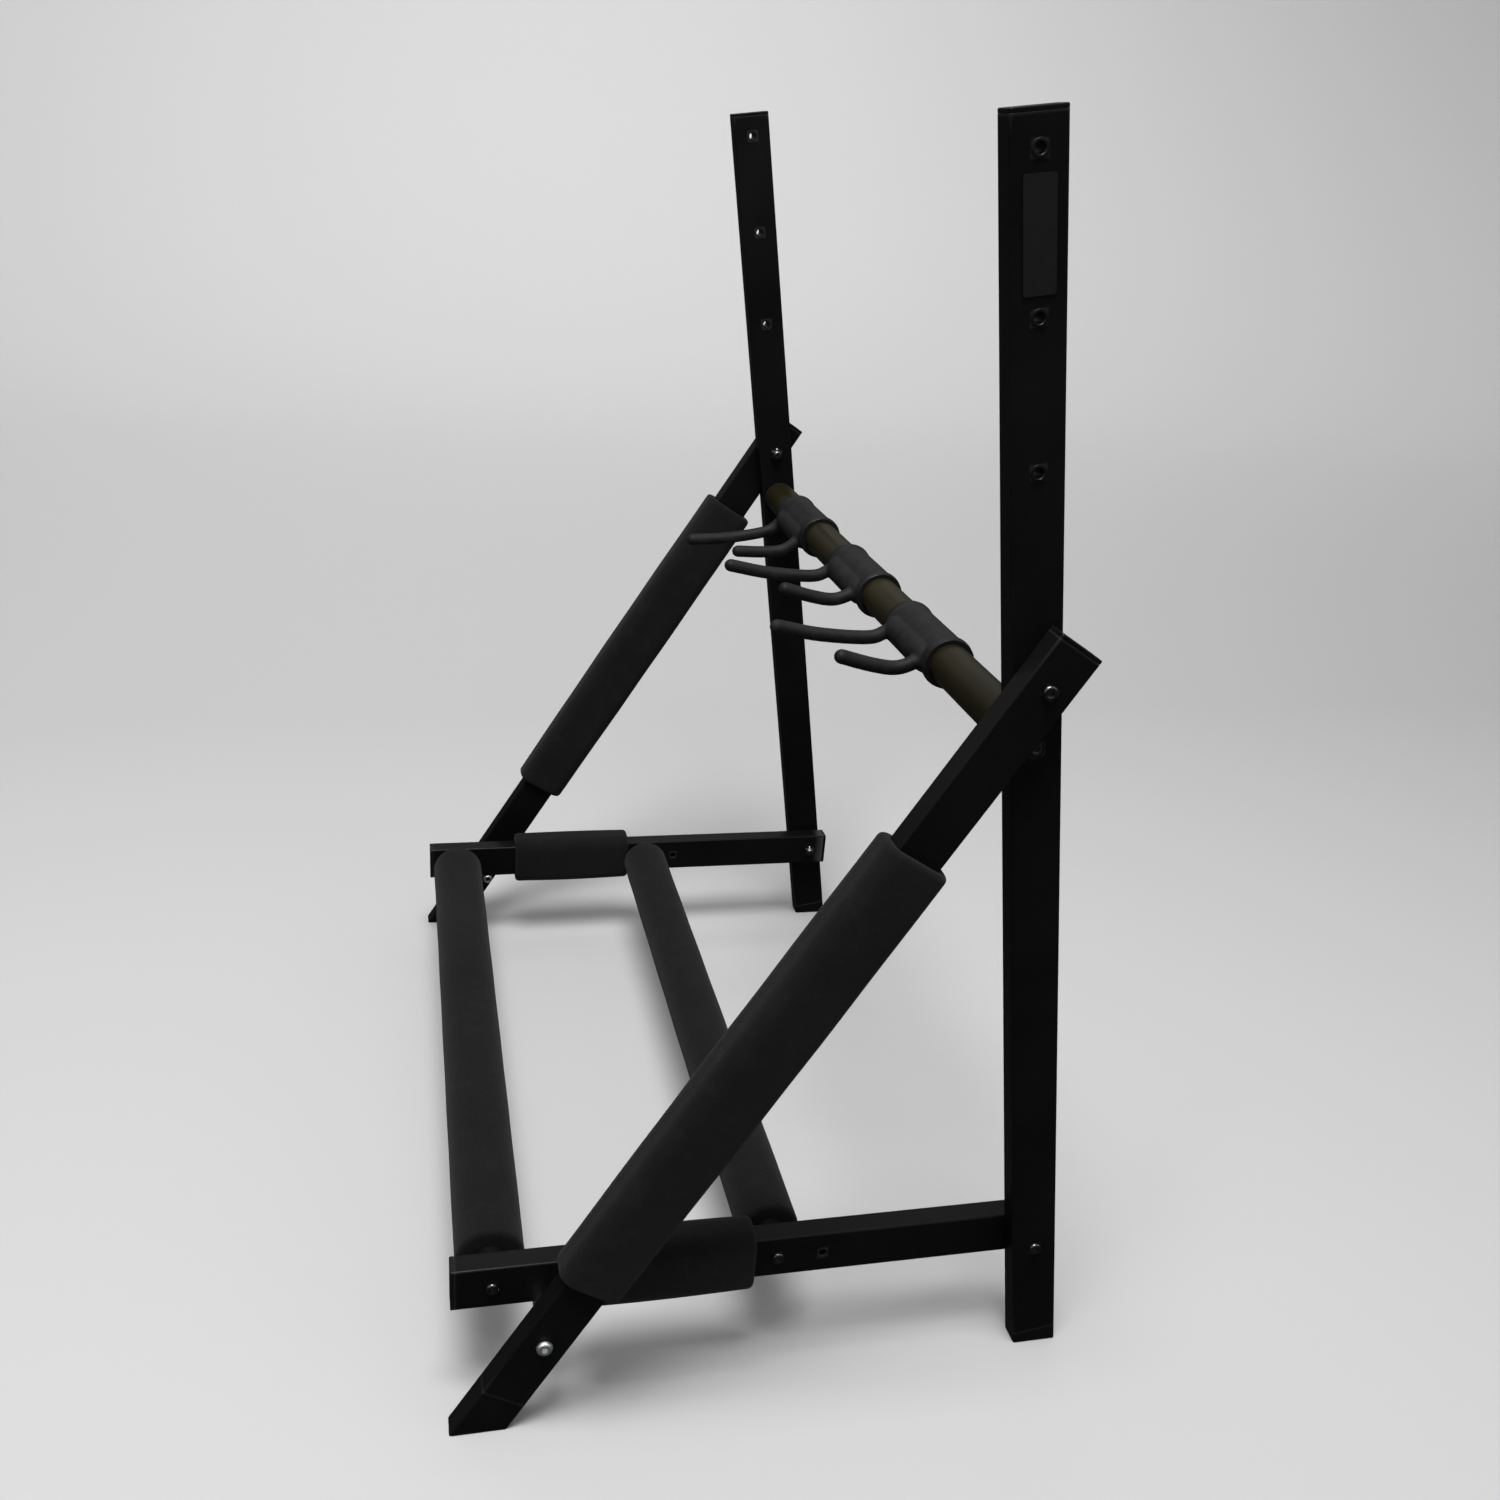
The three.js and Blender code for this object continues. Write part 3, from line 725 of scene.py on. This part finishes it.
def flat_tube(cad, place, low, high, holes):
    """A drilled tube from low to high, with stations close to its ends and its holes, so that
    the paler edges, partly wear and partly painted highlight, stay narrow."""
    edge, end_band, rim_band, gap = 0.00012, 0.002, 0.0012, 0.002
    count = round((high - low) / 0.03)
    heights = {low + end_band, high - end_band}
    heights |= {low + (high - low) * k / count for k in range(1, count)}
    heights = {z for z in heights if all(abs(z - at) > radius + gap for at, radius, _ in holes)}
    heights |= {at + way * (radius + rim_band) for at, radius, _ in holes for way in (-1, 1)}
    rings = [outline(edge, low), outline(0, low + edge)] + [outline(0, z) for z in sorted(heights)]
    rings += [outline(0, high - edge), outline(edge, high),
              outline(WALL, high), outline(WALL, low)]
    section_piece(cad, rings, place, closed=True, holes=holes)


def end_cap(cad, place):
    """A cap with a rounded rim, on a plug that reaches down from the tube's end at Z 0."""
    head, ease = 0.003, 0.0009
    rings = [outline(WALL + FIT + PLUG_EASE, -PLUG), outline(WALL + FIT, PLUG_EASE - PLUG),
             outline(WALL + FIT, 0.0001), outline(0.0001, 0.0001), outline(0, 0.0002)]
    rings += [outline(ease * (1 - math.cos(t)), head - ease + ease * math.sin(t))
              for t in quarter_angles(4)]
    section_piece(cad, rings, place)


def shoe(cad, place, low, height):
    """A shoe under a leaning tube, cut level with the floor, with a plug up into the tube."""
    def floor(x, y):
        point, run = place @ Vector((x, y, 0)), (place.to_3x3() @ Vector((0, 0, 1))).z
        return -point.z / run

    top = low + height - FIT
    rings = [outline(0.0006, floor), outline(0, floor, 0.0006), outline(0, top - 0.0002),
             outline(0.0002, top), outline(WALL + FIT, top),
             outline(WALL + FIT, top + PLUG - PLUG_EASE),
             outline(WALL + FIT + PLUG_EASE, top + PLUG)]
    section_piece(cad, rings, place)


# Places along each tube's own axis. The upright's start where it meets the floor, the leg's at
# its pivot and the rail's at its pivot.
UPRIGHT_SHOE, UPRIGHT_TOP = 0.012, 0.897
RAIL_PIVOT_UP, NECK_BAR_UP, LEG_PIVOT_UP = 0.098, 0.5215, 0.569
SPARES_UP = (0.702, 0.7905, 0.879)
LEG_SHOE, LEG_TOP = 0.034, 0.031
RAIL_REAR, RAIL_FRONT = -0.017, 0.436
RAIL_HOLES = (0.199, 0.4095, 0.164)  # rear bar, front bar, spare

for word, side in SIDES.items():
    rail_pivot = Vector(joints["base_fold"]["pos_m"])
    rail_pivot.x = centre(f"{word}_upright").x
    place = Matrix.Translation(rail_pivot - UPRIGHT_UP * RAIL_PIVOT_UP) @ basis(UPRIGHT_UP, side)
    holes = [(at, PIVOT, -DEPTH) for at in (LEG_PIVOT_UP, RAIL_PIVOT_UP, NECK_BAR_UP)]
    holes += [(NECK_BAR_UP, SUNK, 0)] + [(at, SPARE, -DEPTH) for at in SPARES_UP]
    flat_tube(f"{word}_upright", place, UPRIGHT_SHOE, UPRIGHT_TOP, holes)
    end_cap(f"{word}_upright_cap", place @ Matrix.Translation((0, 0, UPRIGHT_TOP)))
    shoe(f"{word}_upright_foot", place, 0, UPRIGHT_SHOE)

    leg_pivot = Vector(joints[f"{word}_leg_fold"]["pos_m"])
    place = Matrix.Translation(leg_pivot) @ basis(LEG_UP, side)
    floor_at = -leg_pivot.z / LEG_UP.z
    stop_at = (centre(f"{word}_stop_post") - leg_pivot).dot(LEG_UP)
    flat_tube(f"{word}_leg", place, floor_at + LEG_SHOE, LEG_TOP,
              [(0, PIVOT, -DEPTH), (stop_at, BAR, -DEPTH)])
    end_cap(f"{word}_leg_cap", place @ Matrix.Translation((0, 0, LEG_TOP)))
    shoe(f"{word}_leg_foot", place, floor_at, LEG_SHOE)

    rail_pivot.x = centre(f"{word}_rail").x
    place = Matrix.Translation(rail_pivot) @ basis(FORWARD, side)
    flat_tube(f"{word}_rail", place, RAIL_REAR, RAIL_FRONT,
              [(0, PIVOT, -DEPTH)] + [(at, BAR, -DEPTH) for at in RAIL_HOLES])
    end_cap(f"{word}_rail_front_cap", place @ Matrix.Translation((0, 0, RAIL_FRONT)))
    end_cap(f"{word}_rail_rear_cap",
            place @ Matrix.Translation((0, 0, RAIL_REAR)) @ Matrix.Rotation(math.pi, 4, "X"))


# ---- label --------------------------------------------------------------------------------------
nodes["label_plate"].data.materials.clear()
nodes["label_plate"].data.materials.append(looks["label_grey"])


# ---- floor, light and camera --------------------------------------------------------------------
FLOOR_FRONT, CURVE_AT, CURVE, SWEEP_HALF, WALL_TOP = 6.0, -3.2, 2.2, 9, 9.0
WALL_AT = -5.4


def backdrop():
    """A floor that curves up into a wall far behind the rack, hidden from reflections. Its colour
    holds
    painted light: the far wall is painted much paler than the floor by the rack, and towards the
    camera's right the floor is painted a little darker and the wall a little paler."""
    mat, tree, shader = new_material("studio_paper_painted_light", 0.85, 0.2)
    coords = node(tree, "ShaderNodeTexCoord")
    split = node(tree, "ShaderNodeSeparateXYZ")
    tree.links.new(coords.outputs["Object"], split.inputs["Vector"])
    spans = {}
    for axis_name, start, stop in (("X", -1.0, WALL_AT), ("Y", -3.2, 3.6)):
        span = node(tree, "ShaderNodeMapRange")
        span.inputs["From Min"].default_value, span.inputs["From Max"].default_value = start, stop
        tree.links.new(split.outputs[axis_name], span.inputs["Value"])
        spans[axis_name] = span.outputs["Result"]
    # Painted light: the floor near the rack is painted darker and the far wall paler; towards the
    # camera's right the floor darkens and the wall pales a little.
    near = ramp(tree, spans["Y"], [(0.0, grey(0.475)), (1.0, grey(0.425))])
    far = ramp(tree, spans["Y"], [(0.0, grey(0.80)), (1.0, grey(0.92))])
    tree.links.new(mixed(tree, spans["X"], near, far), shader.inputs["Base Color"])
    fine = texture(tree, "ShaderNodeTexNoise", 300, Detail=2.0)
    bumped(tree, shader, [(fine.outputs["Fac"], 0.0002, 0.15)])
    profile = [(FLOOR_FRONT, 0.0), (CURVE_AT, 0.0)]
    profile += [(CURVE_AT - CURVE * math.sin(t), CURVE * (1 - math.cos(t)))
                for t in quarter_angles(16, 1)]
    profile += [(WALL_AT, WALL_TOP)]
    verts = [(x, y, z) for x, z in profile for y in (-SWEEP_HALF, SWEEP_HALF)]
    faces = [(2 * i, 2 * i + 1, 2 * i + 3, 2 * i + 2) for i in range(len(profile) - 1)]
    mesh = mesh_from("studio_sweep", verts, faces)
    for polygon in mesh.polygons:
        polygon.use_smooth = True
    mesh.materials.append(mat)
    obj = in_scene("studio_sweep", mesh)
    obj.visible_glossy = False


LIGHTS = {  # place, target, size, watts
    "overhead": ((0.8, -0.35, 3.0), (0.1, 0, 0.2), (1.1, 1.1), 100),
    "wall_wash": ((-2.4, 0.2, 4.4), (-5.4, -0.4, 1.9), (3.0, 1.5), 58),
    "camera_left": ((1.6, -2.6, 1.9), (0, 0, 0.4), (1.6, 2.0), 5),
    "camera_right": ((1.9, 2.4, 1.7), (0, 0, 0.5), (1.4, 2.0), 4),
}
SKY = [(0.0, grey(0.06)), (0.18, grey(0.2)), (0.45, grey(0.75)), (0.9, grey(1.0))]
SKY_STRENGTH = 0.66


def studio():
    """Soft light from above, dimmer towards the horizon, so upright black faces stay dark."""
    world = bpy.data.worlds.new("studio")
    bpy.context.scene.world = world
    world.use_nodes = True
    tree = world.node_tree
    sky = tree.nodes["Background"]
    coords = node(tree, "ShaderNodeTexCoord")
    split = node(tree, "ShaderNodeSeparateXYZ")
    tree.links.new(coords.outputs["Generated"], split.inputs["Vector"])
    tree.links.new(ramp(tree, split.outputs["Z"], SKY), sky.inputs["Color"])
    sky.inputs["Strength"].default_value = SKY_STRENGTH
    for name, (place, target, across, watts) in LIGHTS.items():
        data = bpy.data.lights.new(name, "AREA")
        data.shape, data.size, data.size_y = "RECTANGLE", across[0], across[1]
        data.energy = watts
        obj = in_scene(name, data)
        obj.location = place
        obj.rotation_mode = "QUATERNION"
        obj.rotation_quaternion = (Vector(target) - Vector(place)).to_track_quat("-Z", "Y")


CAMERA_RIGHT = Vector((0.2229, 0.9720, 0.0740))
CAMERA_UP = Vector((-0.3959, 0.0209, 0.9181))
CAMERA_BACK = Vector((0.8908, -0.2340, 0.3894))
CAMERA_PLACE = (1.1200, -0.4741, 0.8550)  # from where the uprights meet the floor
FOOT_BEHIND_PIVOT = 0.0155
SENSOR_MM, LENS_MM = 36.0, 33.93
CAMERA_REACH = 60  # nothing further off is drawn


def camera():
    data = bpy.data.cameras.new("camera")
    data.sensor_width, data.lens = SENSOR_MM, LENS_MM
    data.clip_end = CAMERA_REACH
    obj = in_scene("camera", data)
    foot_y = joints["base_fold"]["pos_m"][1] + FOOT_BEHIND_PIVOT
    x, y, z = CAMERA_PLACE
    turn = Matrix((CAMERA_RIGHT, CAMERA_UP, CAMERA_BACK)).transposed().to_4x4()
    obj.matrix_world = Matrix.Translation((x, y + foot_y, z)) @ turn
    bpy.context.scene.camera = obj
    view = bpy.context.scene.view_settings
    view.view_transform, view.look = "Standard", "None"


backdrop()
studio()
camera()
